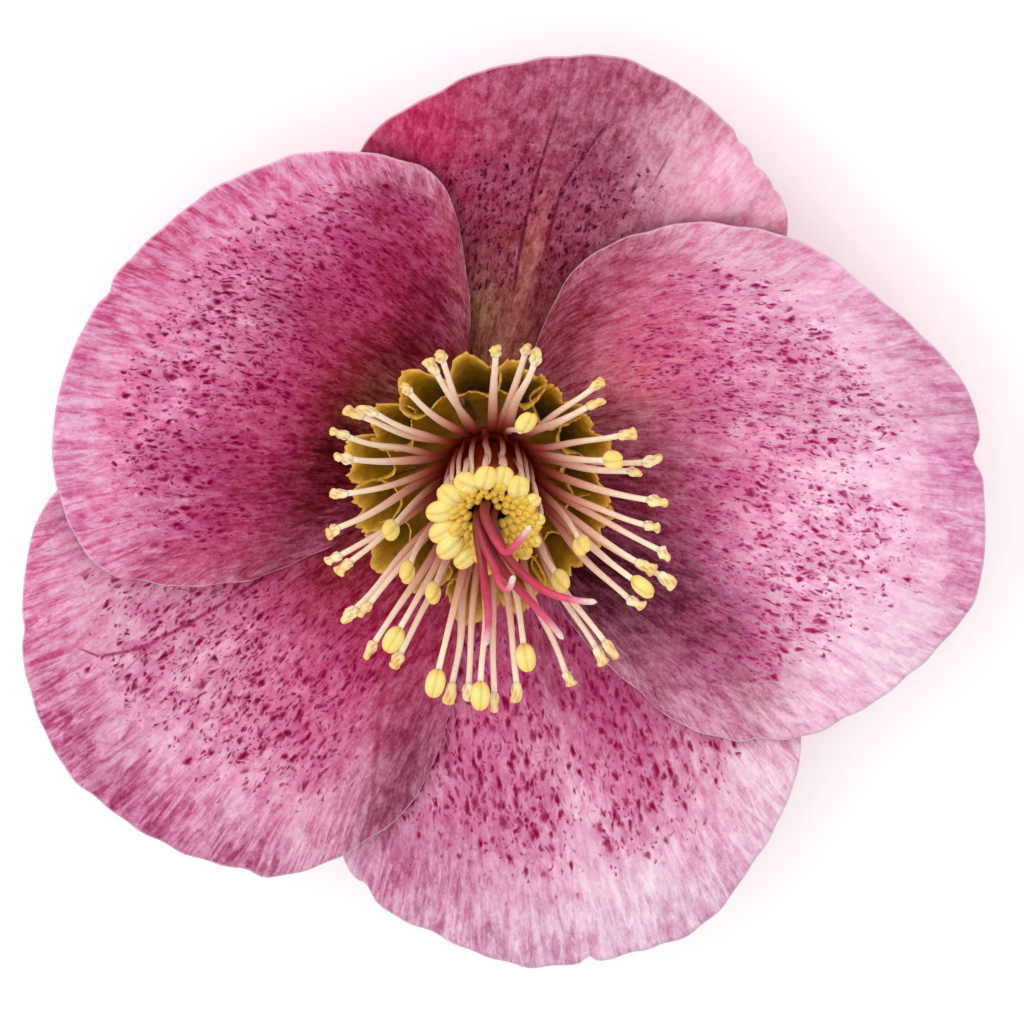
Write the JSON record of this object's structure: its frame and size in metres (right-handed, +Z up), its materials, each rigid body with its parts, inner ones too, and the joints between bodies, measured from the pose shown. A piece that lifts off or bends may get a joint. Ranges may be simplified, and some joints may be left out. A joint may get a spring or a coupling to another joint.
{
  "type": "hellebore flower",
  "caption": "Open hellebore bloom, picked and lying face up: overlapping speckled pink sepals round a ruff of nectaries, spread stamens and long styles.",
  "frame": {"origin": "on the surface the bloom lies on, under the middle of its outline", "axes": "+Z up, out of the open face of the bloom; +Y towards the back sepal, the picture's top; +X towards the right sepal"},
  "size_m": [0.0762, 0.0776, 0.0202],
  "materials": {
    "sepal": "matte",
    "receptacle": "matte",
    "nectary": "satin",
    "stamen": "satin",
    "young_stamen": "satin",
    "carpel": "satin"
  },
  "bodies": {
    "root": {"sepal_1_front": "sepal", "sepal_2_back": "sepal", "sepal_3_front_left": "sepal", "sepal_4_right": "sepal", "sepal_5_back_left": "sepal", "receptacle": "receptacle", "nectaries": "nectary", "stamens_spread": "stamen", "stamens_young": "young_stamen", "carpels": "carpel"}
  },
  "joints": []
}
